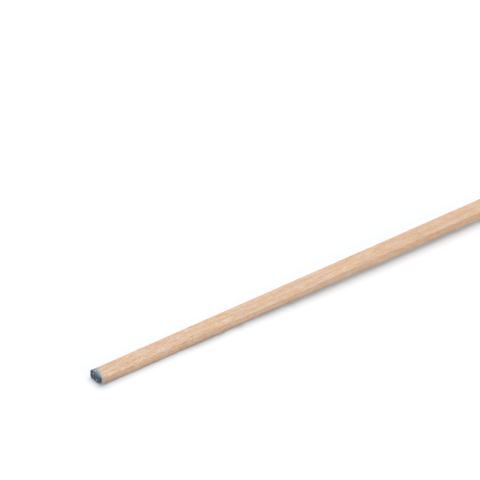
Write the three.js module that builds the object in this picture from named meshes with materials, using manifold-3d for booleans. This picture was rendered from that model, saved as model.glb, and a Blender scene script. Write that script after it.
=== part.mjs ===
// A flat carpenter's pencil of bare beech. Two grooved slats are glued together round a flat lead, the blunt
// end is dipped in blue, and the other end is cut with a knife to a chisel point.
// Millimetres. +X runs along the pencil to its point, +Y across its width, +Z up. The origin is the middle of
// the underside, which lies on Z = 0.
import * as THREE from "three";
import { mergeVertices } from "three/addons/utils/BufferGeometryUtils.js";
import Module from "manifold-3d";

const wasm = await Module();
wasm.setup();

// Casing: the two slats together.
const pencilLength = 300; // dipped end to the tip of the lead
const casingWidth = 11;
const casingThickness = 5;
const arrisRadius = 0.8; // the long edges, eased by the planer
const arrisSegments = 6;

// Lead, and the glue that beds it and joins the slats.
const leadWidth = 4.8;
const leadThickness = 2;
const leadCornerRadius = 0.3;
const leadCornerSegments = 4;
const glueThickness = 0.04;

// Blue dip on the blunt end. It soaks into the wood, so its skin is flush with the casing.
const dipDepth = 2; // along the pencil
const dipSkin = 0.2; // into the sides
const dipEndThickness = 0.8; // into the end grain
const endEasing = 0.6; // the sanded edge round the end
const endEasingSegments = 6;

// Knife-cut point, measured back from the tip of the lead.
const taperLength = 22; // to the knife's first bite
const leadExposed = 6; // to the last of the wood
const chiselWidth = 3.6; // the writing edge
const chiselThickness = 0.4;

// Each stroke of the knife leaves one flat facet, which faces away from the axis at its roll, in degrees from
// +Y. A stroke starts where a corner of the casing is met, at a share of the taper, and ends where it reaches a
// corner of the lead, at a share of the length exposed. Cut by hand, no two strokes are level.
const casingStrokes = [
  { roll: 82, startShare: 0.97, endShare: 1.38 },
  { roll: 91, startShare: 0.86, endShare: 1.12 },
  { roll: 99, startShare: 1, endShare: 1.3 },
  { roll: 56, startShare: 0.9, endShare: 1.45 },
  { roll: 122, startShare: 0.95, endShare: 1.5 },
  { roll: 9, startShare: 0.84, endShare: 1.2 },
  { roll: -7, startShare: 0.92, endShare: 1.3 },
  { roll: 172, startShare: 0.94, endShare: 1.32 },
  { roll: 188, startShare: 0.87, endShare: 1.16 },
  { roll: 237, startShare: 0.97, endShare: 1.48 },
  { roll: 305, startShare: 0.88, endShare: 1.42 },
  { roll: 260, startShare: 0.92, endShare: 1.34 },
  { roll: 269, startShare: 0.83, endShare: 1.1 },
  { roll: 278, startShare: 0.98, endShare: 1.28 },
];

// The same for the lead: from a share of the length exposed down to the chisel edge.
const leadStrokes = [
  { roll: 90, startShare: 1 },
  { roll: 270, startShare: 0.96 },
  { roll: 0, startShare: 0.9 },
  { roll: 180, startShare: 0.84 },
  { roll: 40, startShare: 0.8 },
  { roll: 140, startShare: 0.9 },
  { roll: 220, startShare: 0.86 },
  { roll: 320, startShare: 0.78 },
  { roll: 66, startShare: 0.94 },
  { roll: 246, startShare: 0.9 },
];

const overrun = 4; // how far a cutter runs past what it cuts
const dippedEnd = -pencilLength / 2;
const leadStart = dippedEnd + dipEndThickness;
const tip = pencilLength / 2;
const woodEnd = tip - leadExposed;

const beech = new THREE.MeshStandardMaterial({ color: 0xe0c2a7, roughness: 0.62, metalness: 0 });
const beechBelow = new THREE.MeshStandardMaterial({ color: 0xdabb9d, roughness: 0.62, metalness: 0 });
const driedGlue = new THREE.MeshStandardMaterial({ color: 0xb8946a, roughness: 0.45, metalness: 0 });
const graphite = new THREE.MeshStandardMaterial({ color: 0x3b3c3f, roughness: 0.38, metalness: 0.35 });
const blueDip = new THREE.MeshStandardMaterial({ color: 0x4d5f7c, roughness: 0.55, metalness: 0 });

// A closed geometry as a solid for joining and cutting.
function solidOf(geometry) {
  const bare = geometry.clone().deleteAttribute("normal").deleteAttribute("uv");
  const merged = mergeVertices(bare);
  return new wasm.Manifold(
    new wasm.Mesh({
      numProp: 3,
      vertProperties: merged.attributes.position.array,
      triVerts: new Uint32Array(merged.index.array),
    }),
  );
}

// A solid as a named mesh with flat faces.
function meshOf(name, solid, material) {
  const { vertProperties, triVerts } = solid.getMesh();
  const geometry = new THREE.BufferGeometry();
  geometry.setAttribute("position", new THREE.BufferAttribute(vertProperties, 3));
  geometry.setIndex(new THREE.BufferAttribute(triVerts, 1));
  const faceted = geometry.toNonIndexed();
  faceted.computeVertexNormals();
  const mesh = new THREE.Mesh(faceted, material);
  mesh.name = name;
  return mesh;
}

// A rectangle with round corners, centred on the origin.
function roundedRectangle(width, height, radius) {
  const shape = new THREE.Shape();
  const x = width / 2 - radius;
  const y = height / 2 - radius;
  shape.absarc(x, y, radius, 0, Math.PI / 2);
  shape.absarc(-x, y, radius, Math.PI / 2, Math.PI);
  shape.absarc(-x, -y, radius, Math.PI, 1.5 * Math.PI);
  shape.absarc(x, -y, radius, 1.5 * Math.PI, 2 * Math.PI);
  return shape;
}

// How each view of the pencil stands in space: the outline's two axes, then the axis it is drawn out along.
const axisX = new THREE.Vector3(1, 0, 0);
const axisY = new THREE.Vector3(0, 1, 0);
const axisZ = new THREE.Vector3(0, 0, 1);
const endView = new THREE.Matrix4().makeBasis(axisY, axisZ, axisX);
const planView = new THREE.Matrix4().makeBasis(axisX, axisY, axisZ);
const sideView = new THREE.Matrix4().makeBasis(axisX, axisZ, axisY.clone().negate());

// An outline drawn out square to its view, from one place to another.
function drawnOut(outline, view, from, to, curveSegments) {
  const geometry = new THREE.ExtrudeGeometry(outline, { depth: to - from, bevelEnabled: false, curveSegments });
  geometry.translate(0, 0, from).applyMatrix4(view);
  return solidOf(geometry);
}

// A box that takes in the casing's whole section, or a layer of it, from one place along the pencil to another.
function slab(from, to, low = -casingThickness, high = casingThickness) {
  const box = new THREE.BoxGeometry(to - from, 2 * casingWidth, high - low);
  return solidOf(box.translate((from + to) / 2, 0, (low + high) / 2));
}

// The casing before the knife: its section, with the ends eased as seen from above and from the side.
function casingBlank() {
  const bar = drawnOut(
    roundedRectangle(casingWidth, casingThickness, arrisRadius),
    endView,
    dippedEnd,
    tip,
    arrisSegments,
  );
  const fromAbove = drawnOut(
    roundedRectangle(pencilLength, casingWidth, endEasing),
    planView,
    -casingThickness,
    casingThickness,
    endEasingSegments,
  );
  const fromSide = drawnOut(
    roundedRectangle(pencilLength, casingThickness, endEasing),
    sideView,
    -casingWidth,
    casingWidth,
    endEasingSegments,
  );
  return bar.intersect(fromAbove).intersect(fromSide);
}

// Where the dip doesn't reach: all of the pencil past its rim, and the core that stands inside its cup.
function dryRegion() {
  const rim = dippedEnd + dipDepth;
  const core = drawnOut(
    roundedRectangle(casingWidth - 2 * dipSkin, casingThickness - 2 * dipSkin, arrisRadius),
    endView,
    leadStart,
    rim + overrun,
    arrisSegments,
  );
  return core.add(slab(rim, tip + overrun));
}

// The lead's bar, or with a margin the groove that it lies in.
function leadBar(from, to, margin = 0) {
  const outline = roundedRectangle(
    leadWidth + 2 * margin,
    leadThickness + 2 * margin,
    leadCornerRadius + margin,
  );
  return drawnOut(outline, endView, from, to, leadCornerSegments);
}

// How far a rectangle's corners reach from its centre towards a roll angle.
function reach(width, thickness, roll) {
  const angle = THREE.MathUtils.degToRad(roll);
  return (width * Math.abs(Math.cos(angle)) + thickness * Math.abs(Math.sin(angle))) / 2;
}

// What one stroke takes off: a block outside the plane that passes startReach from the axis at startX, and
// endReach at endX.
function stroke(roll, startX, startReach, endX, endReach) {
  const angle = THREE.MathUtils.degToRad(roll);
  const outward = new THREE.Vector3(0, Math.cos(angle), Math.sin(angle));
  const start = outward.clone().multiplyScalar(startReach).setX(startX);
  const end = outward.clone().multiplyScalar(endReach).setX(endX);
  const along = end.clone().sub(start).normalize();
  const across = new THREE.Vector3().crossVectors(outward, along).normalize();
  const facing = new THREE.Vector3().crossVectors(along, across);
  const block = new THREE.BoxGeometry(2 * (taperLength + overrun), 2 * casingWidth, casingWidth);
  block.translate(0, 0, casingWidth / 2);
  return solidOf(block.applyMatrix4(new THREE.Matrix4().makeBasis(along, across, facing).setPosition(start)));
}

// All that the knife takes off the casing.
function casingShavings() {
  const strokes = casingStrokes.map(({ roll, startShare, endShare }) =>
    stroke(
      roll,
      tip - startShare * taperLength,
      reach(casingWidth, casingThickness, roll),
      tip - endShare * leadExposed,
      reach(leadWidth, leadThickness, roll),
    ),
  );
  return strokes.reduce((all, one) => all.add(one), slab(woodEnd, tip + overrun));
}

// All that the knife takes off the lead.
function leadShavings() {
  const strokes = leadStrokes.map(({ roll, startShare }) =>
    stroke(
      roll,
      tip - startShare * leadExposed,
      reach(leadWidth, leadThickness, roll),
      tip,
      reach(chiselWidth, chiselThickness, roll),
    ),
  );
  return strokes.reduce((all, one) => all.add(one));
}

const blank = casingBlank();
const dry = dryRegion();
const sharpened = blank.intersect(dry).subtract(casingShavings());
const bed = leadBar(dippedEnd, tip + overrun, glueThickness).add(
  slab(dippedEnd, tip + overrun, -glueThickness / 2, glueThickness / 2),
);
const leadBlank = leadBar(leadStart, tip);
const slats = sharpened.subtract(bed);

const pencil = new THREE.Group();
pencil.position.z = casingThickness / 2;
pencil.add(
  meshOf("upper_slat", slats.intersect(slab(dippedEnd, tip, 0, casingThickness)), beech),
  meshOf("lower_slat", slats.intersect(slab(dippedEnd, tip, -casingThickness, 0)), beechBelow),
  meshOf("glue_bed", sharpened.intersect(bed).subtract(leadBlank), driedGlue),
  meshOf("lead_core", leadBlank.subtract(leadShavings()), graphite),
  meshOf("end_dip", blank.subtract(dry), blueDip),
);

export default pencil;
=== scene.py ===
import math

import bmesh
import bpy
import numpy as np
from mathutils import Matrix, Vector


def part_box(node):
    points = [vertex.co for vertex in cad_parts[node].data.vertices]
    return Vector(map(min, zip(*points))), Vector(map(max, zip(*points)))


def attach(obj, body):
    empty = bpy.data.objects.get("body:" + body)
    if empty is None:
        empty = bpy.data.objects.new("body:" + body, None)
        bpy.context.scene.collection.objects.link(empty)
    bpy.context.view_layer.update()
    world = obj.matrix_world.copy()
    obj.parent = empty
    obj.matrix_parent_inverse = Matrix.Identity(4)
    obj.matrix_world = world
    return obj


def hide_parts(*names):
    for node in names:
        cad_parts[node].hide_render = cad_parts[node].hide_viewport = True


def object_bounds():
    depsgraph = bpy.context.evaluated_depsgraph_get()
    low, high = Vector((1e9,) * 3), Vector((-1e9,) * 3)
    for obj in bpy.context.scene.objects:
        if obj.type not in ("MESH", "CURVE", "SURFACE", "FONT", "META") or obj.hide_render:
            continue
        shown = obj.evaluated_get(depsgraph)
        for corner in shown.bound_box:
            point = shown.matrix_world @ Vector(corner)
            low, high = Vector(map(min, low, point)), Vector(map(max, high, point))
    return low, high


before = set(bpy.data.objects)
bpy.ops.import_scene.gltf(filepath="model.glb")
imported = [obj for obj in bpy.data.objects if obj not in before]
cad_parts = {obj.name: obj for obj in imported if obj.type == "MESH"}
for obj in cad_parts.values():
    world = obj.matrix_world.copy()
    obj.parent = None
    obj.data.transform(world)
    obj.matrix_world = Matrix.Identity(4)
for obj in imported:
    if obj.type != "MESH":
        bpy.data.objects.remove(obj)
cad_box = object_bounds()

# Sizes, most of them from the frame. The rest repeat the part's own values.
mm = 0.001
dipped_end = cad_box[0][0]
tip = cad_box[1][0]
casing_width = cad_box[1][1] - cad_box[0][1]
casing_thickness = cad_box[1][2]
mid_height = casing_thickness / 2
lead_low, lead_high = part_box("lead_core")
lead_start = lead_low[0]
lead_width = lead_high[1] - lead_low[1]
lead_thickness = lead_high[2] - lead_low[2]
glue_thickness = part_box("glue_bed")[1][2] - lead_high[2]
dip_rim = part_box("end_dip")[1][0]
dip_skin = 0.2 * mm
arris_radius = 0.8 * mm
lead_corner_radius = 0.3 * mm
end_easing = 0.6 * mm

# The knife's strokes, as degrees from +Y about the axis. One on the casing starts at a share of the taper
# and ends at a share of the bare lead. One on the lead starts at a share of the bare lead and ends at the
# tip.
taper_length = 22 * mm
lead_exposed = 6 * mm
chisel_width = 3.6 * mm
chisel_thickness = 0.4 * mm
casing_strokes = [
    (82, 0.97, 1.38), (91, 0.86, 1.12), (99, 1.00, 1.30), (56, 0.90, 1.45), (122, 0.95, 1.50),
    (9, 0.84, 1.20), (-7, 0.92, 1.30), (172, 0.94, 1.32), (188, 0.87, 1.16), (237, 0.97, 1.48),
    (305, 0.88, 1.42), (260, 0.92, 1.34), (269, 0.83, 1.10), (278, 0.98, 1.28),
]
lead_strokes = [
    (90, 1.00), (270, 0.96), (0, 0.90), (180, 0.84), (40, 0.80),
    (140, 0.90), (220, 0.86), (320, 0.78), (66, 0.94), (246, 0.90),
]
knife_softness = 0.02 * mm
lead_softness = 0.035 * mm
lip = 0.03 * mm  # how thin the wood is where it gives out
torn_wide, torn_fine = 0.10 * mm, 0.06 * mm  # how raggedly it ends round the lead
chip_wide, chip_fine = 0.10 * mm, 0.05 * mm  # out of the lead's chisel edge
crumbled_depth = 0.04 * mm  # of the lead's blunt tip
score_share = 0.004  # of the lead's reach, taken by the blade's scores
score_length = 0.35 * mm
pore_depth, pore_size = 0.05 * mm, 0.25 * mm  # in the dipped end's face
saw_depth, saw_width, saw_length = 0.04 * mm, 0.6 * mm, 2.5 * mm
worn_wide, worn_fine = 0.14, 0.10  # of the long edges' radius, more or less
worn_wide_length, worn_fine_length = 11 * mm, 2.3 * mm
worn_from_rim = 4 * mm  # along which that wear sets in

# How finely the surfaces are divided.
coarse = 2  # the groove has one face for so many of the outside
fine_taper = 1.02 * taper_length  # as far from the tip as the rows are close together
fine_lead = 1.6 * lead_exposed
shank_rows, taper_rows = 170, 261
hidden_lead_rows, bare_lead_rows, tip_rows = 12, 240, 9
face_rows, easing_rows, side_rows, wall_rows = 37, 8, 11, 5
casing_step, cup_step, lead_step = 0.2 * mm, 0.22 * mm, 0.06 * mm
casing_corner, cup_corner, lead_corner = 10, 8, 6  # steps round each
weld_distance = 1e-7
sharp_angle = math.radians(38)
lattice = 64  # random values each way, before the noise repeats

# A knock has blunted the near lower corner of the dipped end: how far it runs along the pencil, across the
# end and up, and how softly it meets the rest.
knock_run = (3.4 * mm, 3.7 * mm, 2.5 * mm)
knock_softness = 0.2 * mm


def noise(seed, a, b):
    """Smooth noise from -1 to 1: random values on a lattice of whole numbers, blended by 3t² - 2t³."""
    table = np.random.RandomState(seed).uniform(-1, 1, (lattice, lattice))
    a, b = np.broadcast_arrays(np.asarray(a, float), np.asarray(b, float))
    i, j = np.floor(a).astype(int), np.floor(b).astype(int)
    s, t = a - i, b - j
    s, t = s * s * (3 - 2 * s), t * t * (3 - 2 * t)
    i, j, past_i, past_j = i % lattice, j % lattice, (i + 1) % lattice, (j + 1) % lattice
    low = table[i, j] * (1 - s) + table[past_i, j] * s
    high = table[i, past_j] * (1 - s) + table[past_i, past_j] * s
    return low * (1 - t) + high * t


def soft_min(values, softness):
    """The least along the first axis, rounded where two are close: -softness · log of the sum of
    e^(-value / softness)."""
    least = values.min(axis=0)
    return least - softness * np.log(np.exp((least - values) / softness).sum(axis=0))


def rectangle_reach(phi, width, thickness, radius, lift=0.0):
    """How far a ray at angle phi from (0, lift) runs inside a round-cornered rectangle about the origin: to
    the nearer flat, or where it meets the flats past a corner's centre, to the far side of that corner's
    circle."""
    y, z = np.cos(phi), np.sin(phi)
    to_side = (width / 2) / np.maximum(np.abs(y), 1e-9)
    to_face = (thickness / 2 - np.sign(z) * lift) / np.maximum(np.abs(z), 1e-9)
    flat = np.minimum(to_side, to_face)
    corner_y = np.sign(y) * (width / 2 - radius)
    corner_z = np.sign(z) * (thickness / 2 - radius)
    past = (np.abs(flat * y) > np.abs(corner_y)) & (np.abs(flat * z + lift) > np.abs(corner_z))
    along = y * corner_y + z * (corner_z - lift)
    off = corner_y**2 + (corner_z - lift) ** 2 - along**2
    return np.where(past, along + np.sqrt(np.maximum(radius**2 - off, 0)), flat)


def knocked(reach, x, phi, lift=0.0, inset=0.0):
    """A reach cut short by the knock: by the plane through the three points that lie the knock's runs away
    from the corner, moved in by an inset."""
    along, across, up = knock_run
    level = (x - dipped_end) / along + casing_width / 2 / across + (mid_height + lift) / up - 1
    level = level - inset * math.sqrt(along**-2 + across**-2 + up**-2)
    facing = np.maximum(-np.cos(phi) / across - np.sin(phi) / up, 1.0)
    both = np.stack(np.broadcast_arrays(reach, level / facing))
    return np.minimum(soft_min(both, knock_softness), reach)


def corner_reach(width, thickness, roll):
    """How far a rectangle's corners reach from its centre towards a roll angle."""
    return (width * np.abs(np.cos(roll)) + thickness * np.abs(np.sin(roll))) / 2


class Strokes:
    """Knife strokes as planes. Each faces out at its roll, and its distance from the axis falls in a
    straight line from start to end."""

    def __init__(self, roll, start_x, start_reach, end_x, end_reach):
        self.y = np.cos(roll)[:, None, None]
        self.z = np.sin(roll)[:, None, None]
        self.start_x = start_x[:, None, None]
        self.start_reach = start_reach[:, None, None]
        self.fall = ((end_reach - start_reach) / (end_x - start_x))[:, None, None]

    def facing(self, phi):
        """The cosine between each stroke's roll and phi."""
        return np.maximum(self.y * np.cos(phi) + self.z * np.sin(phi), 1e-3)

    def reach(self, x, phi, lift=0.0):
        """Distance from (0, lift) to each plane along phi: the plane's own distance over that cosine."""
        plane = self.start_reach + self.fall * (x - self.start_x) - self.z * lift
        return plane / self.facing(phi)

    def where(self, reach, phi, lift=0.0):
        """The place along the pencil where each plane is at a given reach."""
        return self.start_x + (reach * self.facing(phi) + self.z * lift - self.start_reach) / self.fall


def casing_cuts():
    """The strokes on the casing, from its corners down to the lead's."""
    roll, start_share, end_share = np.array(casing_strokes).T
    roll = np.radians(roll)
    return Strokes(
        roll,
        tip - start_share * taper_length,
        corner_reach(casing_width, casing_thickness, roll),
        tip - end_share * lead_exposed,
        corner_reach(lead_width, lead_thickness, roll),
    )


def lead_cuts():
    """The strokes on the lead, from its corners down to the chisel edge."""
    roll, start_share = np.array(lead_strokes).T
    roll = np.radians(roll)
    return Strokes(
        roll,
        tip - start_share * lead_exposed,
        corner_reach(lead_width, lead_thickness, roll),
        tip + 0 * roll,
        corner_reach(chisel_width, chisel_thickness, roll),
    )


def outline_angles(width, thickness, radius, lift, step, corner_steps):
    """Polar angles from 0 to pi, seen from (0, lift), of points set evenly along the upper half of a
    round-cornered rectangle. There is always an even number of steps."""
    y, z = width / 2 - radius, thickness / 2 - radius
    turn = np.linspace(0, math.pi / 2, corner_steps + 1)
    rise = np.linspace(lift, z, max(2, round((z - lift) / step) + 1))[:-1]
    run = np.linspace(y, -y, 2 * round(y / step) + 1)[1:-1]
    side, face = 0 * rise + y + radius, 0 * run + z + radius
    bulge, climb = radius * np.cos(turn), radius * np.sin(turn)
    ys = [side, y + bulge, run, -y - climb, -side]
    zs = [rise, z + climb, face, z + bulge, rise[::-1]]
    return np.arctan2(np.concatenate(zs) - lift, np.concatenate(ys))


def ring_angles(width, thickness, radius, step, corner_steps):
    """Polar angles of points set evenly all round a round-cornered rectangle."""
    half = outline_angles(width, thickness, radius, 0.0, step, corner_steps)
    return np.concatenate([half[:-1], half[:-1] + math.pi])


def in_place(x, reach, phi, height=mid_height):
    """Points at a place along the pencil and at a reach along phi, about a point at the height given."""
    x, reach, phi = np.broadcast_arrays(x, reach, phi)
    return np.stack([x, reach * np.cos(phi), height + reach * np.sin(phi)], -1)


def numbered(grid, first=0):
    """Point numbers for a grid of points."""
    return first + np.arange(grid.shape[0] * grid.shape[1]).reshape(grid.shape[:2])


def quads(numbers, closed=False):
    """Faces between neighbours of a grid of point numbers, closed round its columns if asked."""
    if closed:
        numbers = np.concatenate([numbers, numbers[:, :1]], axis=1)
    here, beside = numbers[:-1, :-1], numbers[:-1, 1:]
    return np.stack([here, beside, numbers[1:, 1:], numbers[1:, :-1]], -1).reshape(-1, 4).tolist()


def end_wall(outside, inside):
    """Faces between a run of point numbers and the coarser run within it, one to each coarse step."""
    start = np.arange(len(inside) - 1)
    along = [outside[start * coarse + k] for k in range(coarse + 1)]
    return np.stack([*along, inside[start + 1], inside[start]], -1).tolist()


def mesh_piece(name, points, faces, stands_for, attributes=None):
    """One closed piece from arrays, smooth but for its sharp edges. It rides on the pencil in a node's
    place."""
    mesh = bpy.data.meshes.new(name)
    mesh.from_pydata(points.tolist(), [], faces)
    for key, values in (attributes or {}).items():
        layer = mesh.attributes.new(key, "FLOAT", "POINT")
        layer.data.foreach_set("value", np.ascontiguousarray(values, dtype=np.float32))
    work = bmesh.new()
    work.from_mesh(mesh)
    bmesh.ops.remove_doubles(work, verts=work.verts, dist=weld_distance)
    bmesh.ops.recalc_face_normals(work, faces=work.faces)
    work.to_mesh(mesh)
    work.free()
    mesh.shade_smooth()
    mesh.set_sharp_from_angle(angle=sharp_angle)
    piece = bpy.data.objects.new(name, mesh)
    bpy.context.collection.objects.link(piece)
    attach(piece, "root")
    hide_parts(stands_for)
    return piece


def wood_end(phi, lift, cuts):
    """Where the wood gives out at each angle, and how far out the groove lies there: the first place where
    a stroke comes down to the groove and the lip, torn a little by the knife."""
    groove = rectangle_reach(
        phi,
        lead_width + 2 * glue_thickness,
        lead_thickness + 2 * glue_thickness,
        lead_corner_radius + glue_thickness,
        lift,
    )
    ends = cuts.where(groove + lip, phi, lift)[:, 0]
    first = np.where(cuts.facing(phi)[:, 0] > 0.3, ends, tip).min(axis=0)
    torn = torn_wide * noise(11, phi[0] * 9, 0) + torn_fine * noise(12, phi[0] * 31, 0)
    return np.minimum(first, tip - lead_exposed) + torn, groove


def casing_blank(x, phi, side, lift, seed):
    """How far the casing reaches before the knife: the section with unevenly worn edges, less the knock."""
    edge = np.sign(np.cos(phi)) * side
    worn = worn_wide * noise(seed, x / worn_wide_length, edge)
    worn = worn + worn_fine * noise(seed + 50, x / worn_fine_length, edge)
    worn = worn * np.clip((x - dip_rim) / worn_from_rim, 0, 1)
    blank = rectangle_reach(phi, casing_width, casing_thickness, arris_radius * (1 + worn), lift)
    return knocked(blank, x, phi, lift)


def casing_core(phi, lift):
    """The casing's reach inside the dip, at its two ends: the section less the dip's skin and the knock."""
    x = np.array([[lead_start], [dip_rim]])
    width, thickness = casing_width - 2 * dip_skin, casing_thickness - 2 * dip_skin
    reach = knocked(rectangle_reach(phi, width, thickness, arris_radius, lift), x, phi, lift, dip_skin)
    return in_place(x, reach, phi, mid_height + lift)


def slat_faces(outside, inside):
    """Faces of the outer and the inner surface, and of the walls between them on all four sides."""
    faces = quads(outside) + quads(inside)
    for column in (0, -1):
        faces += quads(np.stack([outside[:, column], inside[:, column]]))
    for row in (0, -1):
        faces += end_wall(outside[row], inside[row])
    return faces


def slat(name, side, seed, stands_for):
    """Half the casing. Its outer surface is the blank, cut down to the nearest knife stroke, and its inner
    surface is the groove. Columns run from the core inside the dip to where the wood gives out at each
    angle."""
    cuts = casing_cuts()
    lift = side * glue_thickness / 2
    section = (casing_width, casing_thickness, arris_radius)
    phi = side * outline_angles(*section, abs(lift), casing_step, casing_corner)[None, :]
    end, groove = wood_end(phi, lift, cuts)
    taper_start = tip - fine_taper
    shank = np.linspace(dip_rim, taper_start, shank_rows)[:, None] + 0 * phi
    share = np.linspace(0, 1, taper_rows)[1:, None]
    x = np.concatenate([shank, taper_start + share * (end[None, :] - taper_start)])
    blank = casing_blank(x, phi, side, lift, seed)
    strokes = cuts.reach(x, phi, lift)
    reach = np.minimum(soft_min(np.concatenate([blank[None], strokes]), knife_softness), blank)
    reach = np.maximum(np.where(x < taper_start, blank, reach), groove + lip)
    centre = mid_height + lift
    outer = np.concatenate([casing_core(phi, lift), in_place(x, reach, phi, centre)])
    inner = in_place(outer[:, ::coarse, 0], groove[:, ::coarse], phi[:, ::coarse], centre)
    outside = numbered(outer)
    faces = slat_faces(outside, numbered(inner, outside.size))
    uncut = np.zeros((2, phi.size))
    tones = np.random.RandomState(seed).uniform(-1, 1, len(casing_strokes))
    looks = {
        "shaved": np.concatenate([uncut, (blank - reach) / mm]),
        "stroke_tone": np.concatenate([uncut, tones[strokes.argmin(axis=0)]]),
        "wood_left": (end[None, :] - outer[..., 0]) / mm,
    }
    looks = {key: np.concatenate([v.ravel(), v[:, ::coarse].ravel()]) for key, v in looks.items()}
    points = np.concatenate([outer.reshape(-1, 3), inner.reshape(-1, 3)])
    return mesh_piece(name, points, faces, stands_for, looks)


def lead():
    """The flat lead. Its reach is the least of its section and the strokes that cut its chisel point,
    carried to a chipped edge and closed over the tip."""
    cuts = lead_cuts()
    phi = ring_angles(lead_width, lead_thickness, lead_corner_radius, lead_step, lead_corner)[None, :]
    bare = tip - fine_lead
    hidden = np.linspace(lead_start, bare, hidden_lead_rows)[:, None] + 0 * phi
    chips = chip_wide * np.maximum(noise(31, np.cos(phi) * 7, np.sin(phi) * 3), 0)
    chips = chips + chip_fine * np.maximum(noise(32, np.cos(phi) * 23, np.sin(phi) * 9), 0)
    edge = tip - chips
    share = np.linspace(0, 1, bare_lead_rows)[1:, None]
    x = np.concatenate([hidden, bare + share * (edge - bare)])
    section = rectangle_reach(phi, lead_width, lead_thickness, lead_corner_radius)
    strokes = cuts.reach(x, phi)
    scored = 1 - score_share * np.maximum(noise(33, phi * 9, x / score_length), 0) * (x > bare)
    reach = soft_min(np.concatenate([0 * x[None] + section, strokes]), lead_softness)
    reach = np.minimum(reach, section) * scored
    body = in_place(x, reach, phi)
    inward = np.linspace(1, 0, tip_rows)[1:, None]
    crumbled = crumbled_depth * np.maximum(noise(34, phi * 6, inward * 5), 0) * inward
    over_tip = in_place(edge * inward + tip * (1 - inward) - crumbled, reach[-1:] * inward, phi)
    butt = in_place(lead_start, section * np.array([[0.0]]), phi)
    points = np.concatenate([butt, body, over_tip])
    faces = quads(numbered(points), closed=True)
    return mesh_piece("graphite_lead", points.reshape(-1, 3), faces, "lead_core")


def dipped_cup():
    """The blue skin on the blunt end, a cup. A path runs from the middle of the end face out to its edge,
    round a quarter circle, along the side to the rim, over it, and back down the inner wall to the middle.
    At each angle the section's reach scales with it. Open pores and saw marks roughen the end face."""
    phi = ring_angles(casing_width, casing_thickness, arris_radius, cup_step, cup_corner)[None, :]
    turn = np.linspace(0, math.pi / 2, easing_rows)[:, None]
    inset = end_easing * (1 - np.sin(turn))
    rounded_x = dipped_end + end_easing * (1 - np.cos(turn)) + 0 * phi
    rounded = rectangle_reach(phi, casing_width - 2 * inset, casing_thickness - 2 * inset, arris_radius)
    rounded = knocked(rounded, rounded_x, phi)
    share = np.linspace(0, 1, face_rows)[:-1, None]
    face = rounded[:1] * share
    y, z = face * np.cos(phi), face * np.sin(phi)
    pores = np.maximum(noise(41, y / pore_size, z / pore_size), 0)
    saw = np.maximum(noise(42, (y + z) / saw_width, (y - z) / saw_length), 0)
    face_x = dipped_end + (pore_depth * pores + saw_depth * saw) * (1 - share**6)
    sides = np.linspace(dipped_end + end_easing, dip_rim, side_rows)[1:, None] + 0 * phi
    side_reach = knocked(rectangle_reach(phi, casing_width, casing_thickness, arris_radius), sides, phi)
    wall_x = np.array([[dip_rim], [lead_start]]) + 0 * phi
    wall = rectangle_reach(phi, casing_width - 2 * dip_skin, casing_thickness - 2 * dip_skin, arris_radius)
    wall = knocked(wall, wall_x, phi, 0.0, dip_skin)
    inward = np.linspace(1, 0, wall_rows)[1:, None]
    points = np.concatenate([
        in_place(face_x, face, phi),
        in_place(rounded_x, rounded, phi),
        in_place(sides, side_reach, phi),
        in_place(wall_x, wall, phi),
        in_place(lead_start, wall[-1:] * inward, phi),
    ])
    faces = quads(numbered(points), closed=True)
    return mesh_piece("dipped_end_cup", points.reshape(-1, 3), faces, "end_dip")


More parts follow.
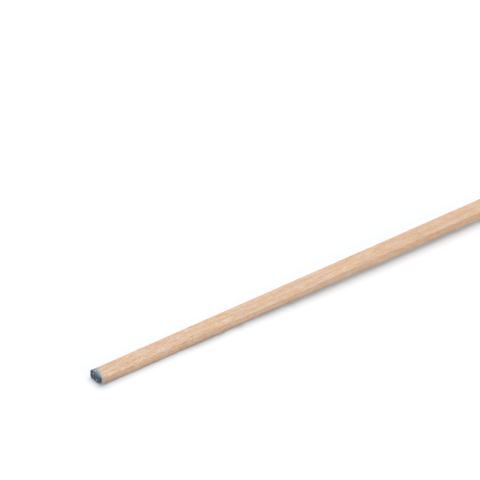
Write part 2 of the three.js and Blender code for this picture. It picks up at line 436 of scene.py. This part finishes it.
class Bench:
    """Lays out nodes in one tree. What goes into a node may be a number, a colour or another node's
    output."""

    def __init__(self, tree):
        self.tree = tree

    def node(self, kind, inputs=None, **settings):
        """A shader node with its settings made and its inputs joined."""
        made = self.tree.nodes.new("ShaderNode" + kind)
        for key, value in settings.items():
            setattr(made, key, value)
        for key, value in (inputs or {}).items():
            self.join(value, made.inputs[key])
        return made

    def join(self, value, socket):
        """Links an output to a socket, or sets the socket itself."""
        if isinstance(value, bpy.types.NodeSocket):
            self.tree.links.new(value, socket)
        else:
            socket.default_value = value

    def math(self, operation, *values):
        return self.node("Math", dict(enumerate(values)), operation=operation).outputs[0]

    def times(self, a, b):
        return self.math("MULTIPLY", a, b)

    def plus(self, a, b):
        return self.math("ADD", a, b)

    def less(self, a, b):
        return self.math("SUBTRACT", a, b)

    def rise(self, value, low, high, start=0.0, end=1.0):
        """From start to end as value goes from low to high, smoothly."""
        inputs = {"Value": value, "From Min": low, "From Max": high, "To Min": start, "To Max": end}
        return self.node("MapRange", inputs, interpolation_type="SMOOTHSTEP").outputs[0]

    def vector(self, operation, a, b):
        return self.node("VectorMath", {0: a, 1: b}, operation=operation).outputs[0]

    def length(self, vector):
        return self.node("VectorMath", {0: vector}, operation="LENGTH").outputs["Value"]

    def apart(self, vector):
        return self.node("SeparateXYZ", {0: vector}).outputs

    def noise(self, vector, stretch, detail=2.0, roughness=0.5):
        """Noise from 0 to 1 on a position stretched by so many cells to the millimetre along each axis."""
        place = self.vector("MULTIPLY", vector, stretch)
        inputs = {"Vector": place, "Scale": 1.0, "Detail": detail, "Roughness": roughness}
        return self.node("TexNoise", inputs).outputs["Fac"]

    def blend(self, amount, a, b, kind="MIX"):
        """Colour a with so much of b over it, mixed or as the kind says."""
        made = self.node("Mix", data_type="RGBA", blend_type=kind)
        self.join(amount, made.inputs[0])
        self.join(a, made.inputs[6])
        self.join(b, made.inputs[7])
        return made.outputs[2]

    def placed(self, group, **values):
        """The outputs of a node group, given its inputs."""
        made = self.node("Group", node_tree=group)
        for key, value in values.items():
            self.join(value, made.inputs[key])
        return made.outputs

    def millimetres(self):
        """Object coordinates in millimetres."""
        place = self.node("TexCoord").outputs["Object"]
        return self.vector("MULTIPLY", place, (1000.0, 1000.0, 1000.0))

    def bump(self, shader, height, strength, depth):
        """Roughens a shader's surface by a height, which is worth a depth in millimetres."""
        made = self.node("Bump", {"Strength": strength, "Distance": depth * mm, "Height": height})
        self.join(made.outputs[0], shader["Normal"])


def new_group(name, takes, gives):
    """An empty node group. Returns its tree, its bench, its inputs and what to join its outputs to, both by
    name."""
    kinds = {float: "NodeSocketFloat", tuple: "NodeSocketColor"}
    tree = bpy.data.node_groups.new(name, "ShaderNodeTree")
    for key, value in takes.items():
        socket = tree.interface.new_socket(name=key, in_out="INPUT", socket_type=kinds[type(value)])
        socket.default_value = value
    for key, kind in gives.items():
        tree.interface.new_socket(name=key, in_out="OUTPUT", socket_type=kinds[kind])
    entry = tree.nodes.new("NodeGroupInput")
    leave = tree.nodes.new("NodeGroupOutput")
    return tree, Bench(tree), entry.outputs, leave.inputs


beech_pale = (0.708, 0.536, 0.397, 1)
beech_late = (0.598, 0.386, 0.241, 1)
beech_fleck = (0.310, 0.173, 0.096, 1)
beech_pink = (0.722, 0.468, 0.336, 1)
beech_straw = (0.738, 0.479, 0.268, 1)
shade_depths = (0.75, 1.15, 1.40)  # how strongly shading changes red, green and blue
ray_stretch = (0.50, 4.4, 0.20)  # cells to the millimetre along each axis


def beech_shading(b, here, fibre, pores, contrast):
    """What fibres, streaks, patches, pores and the light beside the rays do to the wood's colour, as a
    factor for it."""
    streak = b.noise(here, (0.06, 1.1, 1.1), 2.0, 0.5)
    dapple = b.noise(here, (0.42, 1.05, 1.05), 2.0, 0.6)
    beside = b.vector("ADD", here, (0.2, 0.22, 0.1))
    shine = b.rise(b.noise(beside, ray_stretch, 1.0, 0.4), 0.64, 0.72)
    shade = b.plus(b.rise(fibre, 0.25, 0.75, 0.85, 1.15), b.rise(streak, 0.25, 0.75, -0.06, 0.06))
    shade = b.plus(shade, b.rise(dapple, 0.25, 0.75, -0.10, 0.10))
    shade = b.less(shade, b.times(pores, 0.16))
    shade = b.plus(shade, b.times(shine, 0.07))
    shade = b.plus(1.0, b.times(b.less(shade, 1.0), contrast))
    deeper = [b.plus(1.0, b.times(b.less(shade, 1.0), depth)) for depth in shade_depths]
    return b.node("CombineColor", dict(enumerate(deeper))).outputs[0]


def make_beech_figure():
    """Beech: growth rings, long fibres, patches of pink and straw, open pores and ray flecks. The rays run
    through the thickness, so they show as short dashes on the broad faces and as broad flecks on the sides.
    Strength sets how much the fibres, pores and flecks stand out."""
    outputs = {"Colour": tuple, "Height": float}
    tree, b, take, give = new_group("beech_figure", {"Seed": 0.0, "Strength": 1.0}, outputs)
    seed = take["Seed"]
    shift = b.node("CombineXYZ", {0: b.times(seed, 31.7), 1: b.times(seed, 7.3), 2: seed})
    here = b.vector("ADD", b.millimetres(), shift.outputs[0])
    y, z = b.apart(here)[1:]
    bend = b.noise(here, (0.016, 0.14, 0.14), 1.0)
    ring = b.plus(b.plus(b.times(z, 0.42), b.times(y, 0.13)), b.times(bend, 3.2))
    saw = b.math("FRACT", ring)
    late = b.times(b.rise(saw, 0.45, 0.93), b.rise(saw, 0.95, 1.0, 1.0, 0.0))
    fibre = b.noise(here, (0.22, 4.5, 4.5), 3.0, 0.65)
    patch = b.noise(here, (0.23, 0.22, 0.24), 0.0, 0.5)
    blush = b.noise(b.vector("ADD", here, (50.0, 9.0, 4.0)), (0.18, 0.19, 0.21), 0.0, 0.5)
    pores = b.rise(b.noise(here, (1.1, 13.0, 13.0), 1.0), 0.60, 0.70)
    rays = b.rise(b.noise(here, ray_stretch, 1.0, 0.4), 0.655, 0.72)
    colour = b.blend(b.rise(patch, 0.25, 0.75), beech_pale, beech_straw)
    colour = b.blend(b.rise(blush, 0.36, 0.70, 0.0, 0.8), colour, beech_pink)
    colour = b.blend(b.times(late, 0.5), colour, beech_late)
    shading = beech_shading(b, here, fibre, pores, take["Strength"])
    colour = b.blend(1.0, colour, shading, "MULTIPLY")
    colour = b.blend(b.times(b.times(rays, 0.42), take["Strength"]), colour, beech_fleck)
    b.join(colour, give["Colour"])
    b.join(b.less(b.times(fibre, 0.5), b.plus(b.times(pores, 0.8), b.times(rays, 0.3))), give["Height"])
    return tree


# Flecks that show singly in the picture: centre and half size in millimetres, then darkness.
single_flecks = [
    ((-117.6, -3.1, 5.0), (1.7, 0.22, 0.5), 0.75),
    ((-116.2, -3.35, 5.0), (0.9, 0.16, 0.5), 0.60),
    ((-106.7, -2.4, 5.0), (1.1, 0.20, 0.5), 0.55),
    ((-91.6, -5.3, 4.8), (2.2, 0.45, 0.5), 0.40),
    ((-54.1, 0.15, 5.0), (1.6, 0.24, 0.5), 0.30),
    ((-40.8, 0.3, 5.0), (1.4, 0.20, 0.5), 0.35),
    ((79.0, -1.8, 5.0), (1.5, 0.20, 0.5), 0.50),
    ((107.4, 0.4, 5.0), (0.5, 0.30, 0.5), 0.55),
    ((-99.8, -5.5, 0.7), (1.6, 0.4, 0.30), 0.45),
    ((88.7, -5.5, 3.0), (1.3, 0.4, 0.28), 0.50),
    ((61.5, -5.5, 1.1), (2.0, 0.4, 0.35), 0.40),
    # The last is no ray fleck but a broad darker patch over the near upper edge next to the dip, which
    # tones down the paler rub and painted highlight there.
    ((-146.4, -5.1, 4.8), (2.8, 0.9, 0.9), 0.30),
]


def spots(b, place, marks):
    """The strongest of a list of spots: each fades out where the distance from its centre, counted in its
    half sizes, nears one."""
    total = 0.0
    for centre, half, strength in marks:
        away = b.vector("DIVIDE", b.vector("SUBTRACT", place, centre), half)
        total = b.math("MAXIMUM", total, b.rise(b.length(away), 0.35, 1.10, strength, 0.0))
    return total


def ragged_place(b, fineness, stretch):
    """Object coordinates in millimetres, pushed about by noise so that what is drawn on them is ragged."""
    place = b.millimetres()
    push = b.node("TexNoise", {"Vector": place, "Scale": fineness, "Detail": 1.0}).outputs["Color"]
    push = b.vector("MULTIPLY", b.vector("SUBTRACT", push, (0.5, 0.5, 0.5)), stretch)
    return b.vector("ADD", place, push)


def make_single_flecks():
    """Ray flecks at places of their own, and one broad darker patch."""
    tree, b, take, give = new_group("single_flecks", {"Strength": 1.0}, {"Mask": float})
    total = spots(b, ragged_place(b, 2.2, (0.9, 0.25, 0.25)), single_flecks)
    b.join(b.times(total, take["Strength"]), give["Mask"])
    return tree


soak_deep = (0.062, 0.100, 0.165, 1)
soak_middle = (0.160, 0.218, 0.288, 1)
soak_thin = (0.340, 0.360, 0.350, 1)
soak_tide = (0.560, 0.492, 0.400, 1)
dirty_lilac = (0.420, 0.395, 0.420, 1)


def make_blue_soak():
    """The dip's blue where it has crept along the wood, in fingers along the grain. It goes farther the
    nearer the far side, but falls short at the far edge and on the near side. Its colour runs from deep
    slate to pale grey as the distance from the end grows to the reach there, and past it to a faint tide
    line. The near side is dirty besides."""
    outputs = {"Stain": tuple, "Cover": float, "Dirt": float}
    tree, b, take, give = new_group("blue_soak", {"Reach": 2.0}, outputs)
    place = b.millimetres()
    x, y = b.apart(place)[:2]
    depth = b.less(x, dipped_end / mm)
    fingers = b.noise(place, (0.45, 1.7, 1.7), 2.0, 0.6)
    blots = b.noise(place, (0.8, 0.8, 0.8), 1.0, 0.5)
    skew = b.plus(1.0, b.times(y, 0.10))
    near_face = -casing_width / mm / 2
    near_side = b.rise(y, near_face + 0.7, near_face + 0.1)
    skew = b.times(skew, b.less(b.rise(y, 3.4, 5.0, 1.0, 0.72), b.times(near_side, 0.35)))
    reach = b.times(b.times(take["Reach"], skew), b.rise(fingers, 0.25, 0.75, 0.70, 1.30))
    share = b.math("DIVIDE", depth, b.times(reach, b.rise(blots, 0.3, 0.7, 0.88, 1.12)))
    stain = b.blend(b.rise(share, 0.20, 0.55), soak_deep, soak_middle)
    stain = b.blend(b.rise(share, 0.70, 1.08), stain, soak_thin)
    stain = b.blend(b.rise(share, 1.05, 1.50), stain, soak_tide)
    b.join(stain, give["Stain"])
    b.join(b.rise(share, 1.25, 1.85, 1.0, 0.0), give["Cover"])
    b.join(b.times(near_side, b.rise(b.plus(depth, blots), 1.5, 4.6, 1.0, 0.0)), give["Dirt"])
    return tree


# Marks on the dip and its stain: centre and half size in millimetres, then strength. The dip is rubbed pale
# in some places and lies thick in others, and is bluest in the middle of the end's upper edge.
pale_rubs = [
    ((-148.0, 3.3, 5.0), (1.1, 0.9, 0.7), 0.70),
    ((-150.0, 2.2, 4.4), (0.6, 1.0, 0.75), 0.90),
    ((-150.0, -0.95, 1.8), (0.6, 1.05, 0.75), 1.0),
    ((-150.0, 0.0, 4.7), (0.5, 0.45, 0.9), 0.60),
    ((-150.0, 2.0, 2.4), (0.5, 0.5, 0.5), 0.35),
    ((-150.0, -1.0, 1.2), (0.5, 1.4, 0.5), 0.30),
    ((-150.0, -2.5, 1.6), (0.5, 0.8, 0.4), 0.25),
    ((-149.7, -5.5, 2.6), (0.5, 0.5, 0.6), 0.25),
    ((-149.7, -2.9, 5.0), (0.5, 0.4, 0.6), 0.25),
    ((-148.3, -2.3, 5.0), (0.5, 0.45, 0.3), 0.45),
    ((-147.8, -4.0, 5.0), (0.5, 0.45, 0.3), 0.40),
]
thick_places = [
    ((-150.0, 4.3, 3.2), (0.8, 0.8, 2.6), 0.55),
    ((-149.6, 4.4, 4.9), (0.9, 0.9, 0.7), 0.70),
    ((-147.6, 4.5, 4.9), (0.9, 0.5, 0.5), 0.45),
    ((-149.4, 1.9, 5.0), (0.5, 0.5, 0.6), 0.55),
    ((-150.0, 0.95, 3.4), (0.5, 0.55, 1.8), 0.85),
    ((-150.0, 3.1, 1.5), (0.5, 0.7, 0.6), 0.55),
    ((-150.0, -1.2, 3.7), (0.5, 1.0, 0.60), 0.70),
    ((-149.1, -2.7, 5.0), (0.5, 0.8, 0.4), 0.50),
    ((-149.7, -4.6, 3.9), (1.0, 0.9, 1.9), 0.70),
    ((-150.0, -3.6, 1.6), (0.5, 0.9, 0.9), 0.45),
    ((-146.6, 2.3, 5.0), (0.8, 0.5, 0.3), 0.16),
    ((-146.8, -3.3, 5.0), (0.7, 0.5, 0.6), 0.25),
    ((-147.6, -0.4, 5.0), (1.5, 0.55, 0.6), 0.24),
    ((-149.2, -1.5, 5.0), (0.5, 0.5, 0.5), 0.45),
    ((-149.5, -3.6, 5.0), (0.6, 0.5, 0.5), 0.45),
    ((-149.4, -0.2, 5.0), (0.4, 0.4, 0.4), 0.40),
]
blue_places = [
    ((-149.6, -1.1, 4.7), (1.6, 3.0, 2.1), 1.0),
]
rub_pale = (0.470, 0.530, 0.600, 1)
thick_dark = (0.036, 0.045, 0.060, 1)
dip_blue = (0.090, 0.153, 0.278, 1)


def make_dip_marks():
    """Where the dip is rubbed pale, lies thick or is bluest, and the knocked corner, which is all that lies
    near the plane that it was cut by."""
    outputs = {"Pale": float, "Thick": float, "Blue": float, "Knock": float}
    tree, b, take, give = new_group("dip_marks", {"Strength": 1.0}, outputs)
    place = ragged_place(b, 1.8, (0.9, 0.9, 0.9))
    for name, marks in (("Pale", pale_rubs), ("Thick", thick_places), ("Blue", blue_places)):
        b.join(b.times(spots(b, place, marks), take["Strength"]), give[name])
    corner = (dipped_end / mm, -casing_width / mm / 2, 0.0)
    knock_millimetres = tuple(run / mm for run in knock_run)
    runs = b.vector("DIVIDE", b.vector("SUBTRACT", place, corner), knock_millimetres)
    along, across, up = b.apart(runs)
    knock = b.rise(b.plus(along, b.plus(across, up)), 0.95, 1.30, 1.0, 0.0)
    b.join(b.times(knock, take["Strength"]), give["Knock"])
    return tree


def marked_dip(b, colour):
    """A colour with the dip's marks over it."""
    marks = b.placed(dip_marks, Strength=1.0)
    colour = b.blend(marks["Thick"], colour, thick_dark)
    colour = b.blend(b.times(marks["Pale"], 0.85), colour, rub_pale)
    return b.blend(b.times(marks["Knock"], 0.5), colour, dirty_lilac)


def make_edge_wear_and_painted_light():
    """Where hands and the bench have rubbed: the long upper edges, where both the width and the thickness
    are near their ends, broken up along the grain; the paler rub there is also a painted highlight. Grime
    lies in long faint smears. Painted shade darkens the sides low down, where they meet the floor: higher
    up near the dipped end and less and less towards the far part. Near the point, where the pencil is held,
    the wood is a little browner."""
    outputs = {"RubAndHighlight": float, "Grime": float, "ContactShade": float, "Held": float}
    tree, b, take, give = new_group("edge_wear_and_painted_light", {"Amount": 1.0}, outputs)
    place = b.millimetres()
    x, y, z = b.apart(place)
    half_width, half_height = casing_width / mm / 2, mid_height / mm
    out = b.rise(b.math("ABSOLUTE", y), half_width - 0.9, half_width - 0.15)
    up = b.math("ABSOLUTE", b.less(z, half_height))
    edge = b.times(out, b.rise(up, half_height - 0.8, half_height - 0.1))
    broken = b.noise(place, (0.35, 1.2, 1.2), 2.0, 0.6)
    lower = b.rise(z, half_height, 0.0)
    # The paler rub on the upper edges is also a painted highlight along them.
    rubbed = b.times(edge, b.times(b.rise(broken, 0.35, 0.62), b.less(1.0, lower)))
    b.join(b.times(rubbed, take["Amount"]), give["RubAndHighlight"])
    smears = b.rise(b.noise(place, (0.10, 0.6, 0.6), 3.0, 0.6), 0.52, 0.78)
    b.join(b.times(smears, take["Amount"]), give["Grime"])
    # Painted shade: the sides darken low down, where they meet the floor, higher up near the dipped end and
    # fading out over the far part.
    top = b.rise(x, -146.0, -128.0, 3.0, 2.1)
    low = b.times(out, b.rise(z, top, b.less(top, 1.6)))
    contact_shade = b.times(b.times(low, b.rise(x, -40.0, 60.0, 1.0, 0.0)), b.rise(broken, 0.25, 0.60, 0.7, 1.0))
    b.join(b.times(contact_shade, take["Amount"]), give["ContactShade"])
    held = b.times(b.rise(x, 20.0, 100.0), b.rise(broken, 0.25, 0.60, 1.0, 0.7))
    b.join(b.times(held, take["Amount"]), give["Held"])
    return tree


def make_lead_dust():
    """Graphite rubbed into what is next to the lead: dense close to the lead's section and near the point,
    thinning in streaks."""
    tree, b, take, give = new_group("lead_dust", {"Amount": 1.0, "Length": 3.0}, {"Dust": float})
    place = b.millimetres()
    x, y, z = b.apart(place)
    ahead = b.less(x, b.less((tip - 1.25 * lead_exposed) / mm, take["Length"]))
    near = b.rise(b.math("DIVIDE", ahead, take["Length"]), 0.0, 1.2)
    across = b.math("DIVIDE", b.math("ABSOLUTE", y), lead_width / mm / 2)
    over = b.math("DIVIDE", b.math("ABSOLUTE", b.less(z, mid_height / mm)), lead_thickness / mm / 2)
    close = b.rise(b.math("MAXIMUM", across, over), 1.05, 1.6, 1.0, 0.15)
    streaks = b.rise(b.noise(place, (0.8, 3.5, 3.5), 2.0, 0.6), 0.30, 0.70, 0.25, 1.0)
    b.join(b.times(b.times(b.times(near, close), streaks), take["Amount"]), give["Dust"])
    return tree


beech_figure = make_beech_figure()
single_fleck_marks = make_single_flecks()
blue_soak = make_blue_soak()
dip_marks = make_dip_marks()
edge_wear_and_painted_light = make_edge_wear_and_painted_light()
lead_dust = make_lead_dust()

soak_reach = 2.5  # millimetres
dirt_share = 0.75
graphite_grey = (0.047, 0.048, 0.054, 1)

rubbed_edge_and_highlight = (0.860, 0.660, 0.490, 1)
old_grime = (0.460, 0.360, 0.270, 1)
hand_brown = (0.600, 0.290, 0.085, 1)
painted_contact_shade = (0.380, 0.300, 0.250, 1)
fresh_dull = (0.800, 0.600, 0.440, 1)
fresh_bright = (0.900, 0.690, 0.510, 1)
fresh_lift = (1.26, 1.36, 1.48, 1)
bite_brown = (0.450, 0.300, 0.190, 1)
torn_brown = (0.300, 0.220, 0.160, 1)


def new_material(name):
    """An empty material. Returns it with its bench and its Principled shader's inputs."""
    material = bpy.data.materials.new(name)
    material.use_nodes = True
    return material, Bench(material.node_tree), material.node_tree.nodes["Principled BSDF"].inputs


def handled_and_shaded(b, colour, wear_and_painted_light, uncut):
    """Old wood: its edges rubbed paler, partly as a painted highlight, grimy and brown where no knife has
    cut since, and with painted shade low on its sides there.
    """
    # Paler upper edges: rubbed wood and a painted highlight together.
    colour = b.blend(b.times(wear_and_painted_light["RubAndHighlight"], 0.42), colour, rubbed_edge_and_highlight)
    # The last of these is painted shade low on the sides, where they meet the floor.
    grime_and_shade = [("Grime", 0.14, old_grime), ("Held", 0.20, hand_brown), ("ContactShade", 0.90, painted_contact_shade)]
    for key, share, tint in grime_and_shade:
        colour = b.blend(b.times(b.times(wear_and_painted_light[key], uncut), share), colour, tint)
    return colour


def fresh_cut(b, tone, figure_colour):
    """Wood as a knife leaves it: paler, with less of its figure, and of its own tone on each facet."""
    fresh = b.blend(b.rise(tone, -1.0, 1.0), fresh_dull, fresh_bright)
    fresh = b.blend(1.0, fresh, b.blend(0.75, (1, 1, 1, 1), figure_colour), "MULTIPLY")
    return b.blend(1.0, fresh, fresh_lift, "MULTIPLY")


def planed_beech(name, seed):
    """Bare beech: planed on the shank, cut clean by the knife at the point, stained at the dipped end. Its
    figure is strongest near the dip."""
    material, b, shader = new_material(name)
    x = b.apart(b.millimetres())[0]
    figure = b.placed(beech_figure, Seed=seed, Strength=b.rise(x, -135.0, 0.0, 1.25, 0.72))
    marks = b.placed(single_fleck_marks, Strength=1.0)
    soak = b.placed(blue_soak, Reach=soak_reach)
    wear_and_painted_light = b.placed(edge_wear_and_painted_light, Amount=1.0)
    dust = b.placed(lead_dust, Amount=0.55, Length=2.5)
    shaved = b.node("Attribute", attribute_name="shaved").outputs["Fac"]
    tone = b.node("Attribute", attribute_name="stroke_tone").outputs["Fac"]
    left = b.node("Attribute", attribute_name="wood_left").outputs["Fac"]
    cut = b.rise(shaved, 0.01, 0.06)
    uncut = b.less(1.0, cut)
    colour = b.blend(marks["Mask"], figure["Colour"], beech_fleck)
    colour = handled_and_shaded(b, colour, wear_and_painted_light, uncut)
    colour = b.blend(cut, colour, fresh_cut(b, tone, figure["Colour"]))
    bite = b.times(b.rise(shaved, 0.004, 0.03), b.rise(shaved, 0.05, 0.16, 1.0, 0.0))
    colour = b.blend(b.times(bite, 0.20), colour, bite_brown)
    colour = b.blend(b.rise(left, 0.0, 0.5, 0.35, 0.0), colour, torn_brown)
    colour = b.blend(dust["Dust"], colour, graphite_grey)
    colour = b.blend(b.times(soak["Dirt"], dirt_share), colour, dirty_lilac)
    colour = b.blend(soak["Cover"], colour, soak["Stain"])
    b.join(marked_dip(b, colour), shader["Base Color"])
    rough = b.rise(figure["Height"], -0.6, 0.5, 0.74, 0.58)
    rough = b.less(rough, b.times(wear_and_painted_light["RubAndHighlight"], 0.12))
    b.join(b.less(rough, b.times(cut, 0.10)), shader["Roughness"])
    place = b.millimetres()
    chatter = b.noise(b.vector("ADD", place, (0.0, 0.0, seed)), (1.6, 0.25, 0.25), 1.0)
    planer = b.noise(place, (0.55, 0.02, 0.02), 0.0)
    ripple = b.plus(b.times(b.times(chatter, cut), 0.6), b.times(b.times(planer, uncut), 0.25))
    b.bump(shader, b.plus(figure["Height"], ripple), 0.5, 0.03)
    return material


slate_near = (0.064, 0.074, 0.087, 1)
slate_far = (0.088, 0.105, 0.142, 1)
slate_cloud = (0.100, 0.131, 0.182, 1)
mottle_light = (0.190, 0.232, 0.308, 1)
mottle_dark = (0.038, 0.046, 0.064, 1)
speck_pale = (0.330, 0.380, 0.460, 1)


def slate_blue_dip():
    """The dip: blue and slate colour in rough end grain, wood showing through on the sides, with light
    specks."""
    material, b, shader = new_material("slate_blue_dip")
    place = b.millimetres()
    x, y, z = b.apart(place)
    half = b.math("LESS_THAN", z, mid_height / mm)
    figure = b.placed(beech_figure, Seed=b.plus(1.0, half), Strength=1.25)
    soak = b.placed(blue_soak, Reach=soak_reach)
    clouds = b.noise(place, (0.6, 0.6, 0.9), 2.0, 0.55)
    mottle = b.noise(place, (0.9, 1.1, 0.8), 2.0, 0.55)
    depth = b.plus(b.less(x, dipped_end / mm), b.rise(mottle, 0.3, 0.7, -0.2, 0.2))
    depth = b.plus(depth, b.rise(b.math("ABSOLUTE", y), 4.7, 5.4, 0.0, 0.4))
    on_end = b.rise(depth, 0.45, 1.0, 1.0, 0.0)
    paint = b.blend(b.rise(y, -4.5, 2.0), slate_near, slate_far)
    paint = b.blend(b.rise(clouds, 0.35, 0.65, 0.0, 0.5), paint, slate_cloud)
    paint = b.blend(b.placed(dip_marks, Strength=0.9)["Blue"], paint, dip_blue)
    paint = b.blend(b.rise(mottle, 0.52, 0.64, 0.0, 0.7), paint, mottle_light)
    paint = b.blend(b.rise(mottle, 0.47, 0.37, 0.0, 0.8), paint, mottle_dark)
    specks = b.rise(b.noise(place, (1.5, 1.5, 1.5), 0.0), 0.66, 0.76)
    paint = b.blend(b.times(specks, 0.7), paint, speck_pale)
    wood = b.blend(b.times(soak["Dirt"], dirt_share), figure["Colour"], dirty_lilac)
    wood = b.blend(soak["Cover"], wood, soak["Stain"])
    b.join(marked_dip(b, b.blend(on_end, wood, paint)), shader["Base Color"])
    shader["Specular IOR Level"].default_value = 0.3
    b.join(b.rise(mottle, 0.3, 0.7, 0.50, 0.72), shader["Roughness"])
    b.bump(shader, b.plus(b.times(mottle, 1.2), b.times(figure["Height"], 0.6)), 0.6, 0.05)
    return material


graphite_dull = (0.036, 0.037, 0.042, 1)
graphite_burnished = (0.075, 0.077, 0.086, 1)
clay_speck = (0.150, 0.145, 0.140, 1)


def cut_graphite():
    """Pencil lead: dark grey, with a metallic sheen on knife-cut facets, fine scoring across them and
    specks of clay."""
    material, b, shader = new_material("cut_graphite")
    place = b.millimetres()
    scoring = b.noise(place, (7.0, 0.7, 0.7), 3.0, 0.65)
    burnish = b.noise(place, (0.9, 1.1, 1.1), 2.0, 0.5)
    clay = b.rise(b.noise(place, (5.0, 5.0, 5.0), 1.0), 0.66, 0.74)
    colour = b.blend(b.rise(burnish, 0.35, 0.7), graphite_dull, graphite_burnished)
    colour = b.blend(b.times(clay, 0.35), colour, clay_speck)
    b.join(colour, shader["Base Color"])
    b.join(b.rise(burnish, 0.35, 0.7, 0.25, 0.6), shader["Metallic"])
    b.join(b.rise(scoring, 0.3, 0.7, 0.30, 0.48), shader["Roughness"])
    b.bump(shader, b.less(scoring, b.times(clay, 0.3)), 0.5, 0.02)
    return material


glue_thin = (0.600, 0.400, 0.230, 1)
glue_thick = (0.450, 0.270, 0.130, 1)


def amber_glue():
    """The glue's thin edge: amber, thick and thin by turns, blackened where it meets the lead."""
    material, b, shader = new_material("amber_glue")
    place = b.millimetres()
    thick = b.noise(place, (0.5, 2.0, 2.0), 2.0, 0.6)
    soak = b.placed(blue_soak, Reach=soak_reach)
    dust = b.placed(lead_dust, Amount=1.0, Length=2.0)
    colour = b.blend(b.rise(thick, 0.35, 0.65), glue_thin, glue_thick)
    colour = b.blend(b.times(dust["Dust"], 0.85), colour, graphite_grey)
    colour = b.blend(soak["Cover"], colour, soak["Stain"])
    b.join(colour, shader["Base Color"])
    b.join(b.rise(thick, 0.35, 0.65, 0.55, 0.38), shader["Roughness"])
    b.bump(shader, thick, 0.3, 0.02)
    return material


def dress(piece, material):
    """Gives a piece one material and no other."""
    piece.data.materials.clear()
    piece.data.materials.append(material)


dress(slat("beech_slat_upper", 1, 21, "upper_slat"), planed_beech("planed_beech_upper", 1.0))
dress(slat("beech_slat_lower", -1, 22, "lower_slat"), planed_beech("planed_beech_lower", 2.0))
dress(dipped_cup(), slate_blue_dip())
dress(lead(), cut_graphite())
dress(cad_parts["glue_bed"], amber_glue())

# The camera: the pencil's heading from the picture's right towards its far side, how steeply the camera
# looks down, its distance and how wide its frame is at the place that it aims at, and where that place is.
pencil_heading = math.radians(35.83)
view_elevation = math.radians(37.2)
camera_distance = 6.0
nearest_seen, farthest_seen = 0.1, 100.0
sensor_width = 36.0
frame_width = 277.8 * mm
aim_right = -39.5 * mm
aim_away = 45.34 * mm


def add_camera():
    """The photograph's view: the pencil runs away to the right, seen from above its near side."""
    right = Vector((math.cos(pencil_heading), -math.sin(pencil_heading), 0))
    away = Vector((math.sin(pencil_heading), math.cos(pencil_heading), 0))
    back = Vector((0, 0, math.sin(view_elevation))) - math.cos(view_elevation) * away
    camera = bpy.data.objects.new("camera", bpy.data.cameras.new("camera"))
    camera.data.sensor_width = sensor_width
    camera.data.lens = sensor_width * camera_distance / frame_width
    camera.data.clip_start = nearest_seen
    camera.data.clip_end = farthest_seen
    place = aim_right * right + aim_away * away + camera_distance * back
    camera.matrix_world = Matrix.Translation(place) @ back.to_track_quat("Z", "Y").to_matrix().to_4x4()
    bpy.context.collection.objects.link(camera)
    bpy.context.scene.camera = camera


floor_half = 6.0
floor_fall = 1.93 * mm
fall_start = -104 * mm
fall_end = 35 * mm
fall_steps = 57
floor_white = (0.911, 0.880, 0.905, 1)
floor_glow = (0.120, 0.164, 0.170, 1)
sky_light = 0.25

# Lamps: name, strength, how many degrees wide, and the direction that the light comes from.
lamps = [
    ("key", 2.42, 68, (0.36, 0.47, 1.0)),
    ("fill", 1.11, 34, (0.35, -1.0, 0.24)),
]


def seen_directly(b):
    """One for rays from the camera, in reflections and through glass, and nought for the light that
    falls."""
    rays = b.node("LightPath").outputs
    seen = b.math("MAXIMUM", rays["Is Camera Ray"], rays["Is Glossy Ray"])
    return b.math("MAXIMUM", seen, rays["Is Transmission Ray"])


def add_floor():
    """A pale floor that keeps the pencil's shadow and shows white elsewhere. The real stick is bowed and
    its far part stands a little clear, so under the straight model the floor falls away there, by
    3t² - 2t³. What it gives off itself is added only where it is seen."""
    share = np.linspace(0, 1, fall_steps)
    x = np.concatenate([[-floor_half], fall_start + share * (fall_end - fall_start), [floor_half]])
    z = -floor_fall * np.concatenate([[0], share**2 * (3 - 2 * share), [1]])
    points = np.stack([np.stack([x, 0 * x + y, z], -1) for y in (-floor_half, floor_half)], 1)
    mesh = bpy.data.meshes.new("floor")
    mesh.from_pydata(points.reshape(-1, 3).tolist(), [], quads(numbered(points)))
    mesh.flip_normals()
    mesh.shade_smooth()
    floor = bpy.data.objects.new("floor", mesh)
    bpy.context.collection.objects.link(floor)
    material, b, shader = new_material("white_floor")
    shader["Base Color"].default_value = floor_white
    shader["Roughness"].default_value = 1.0
    shader["Specular IOR Level"].default_value = 0.0
    b.join(b.blend(seen_directly(b), (0, 0, 0, 1), floor_glow), shader["Emission Color"])
    shader["Emission Strength"].default_value = 1.0
    mesh.materials.append(material)


def add_world():
    """Even light from all round, and white where it is seen."""
    world = bpy.data.worlds.new("studio")
    bpy.context.scene.world = world
    world.use_nodes = True
    b = Bench(world.node_tree)
    background = world.node_tree.nodes["Background"]
    b.join(b.plus(sky_light, b.times(seen_directly(b), 1 - sky_light)), background.inputs["Strength"])
    background.inputs["Color"].default_value = (1, 1, 1, 1)


def add_lamp(name, strength, spread, source):
    """A wide soft lamp that shines from a direction."""
    lamp = bpy.data.objects.new(name, bpy.data.lights.new(name, "SUN"))
    lamp.data.energy = strength
    lamp.data.angle = math.radians(spread)
    lamp.matrix_world = Vector(source).to_track_quat("Z", "Y").to_matrix().to_4x4()
    bpy.context.collection.objects.link(lamp)


add_camera()
add_floor()
add_world()
for lamp in lamps:
    add_lamp(*lamp)
bpy.context.scene.view_settings.view_transform = "Standard"
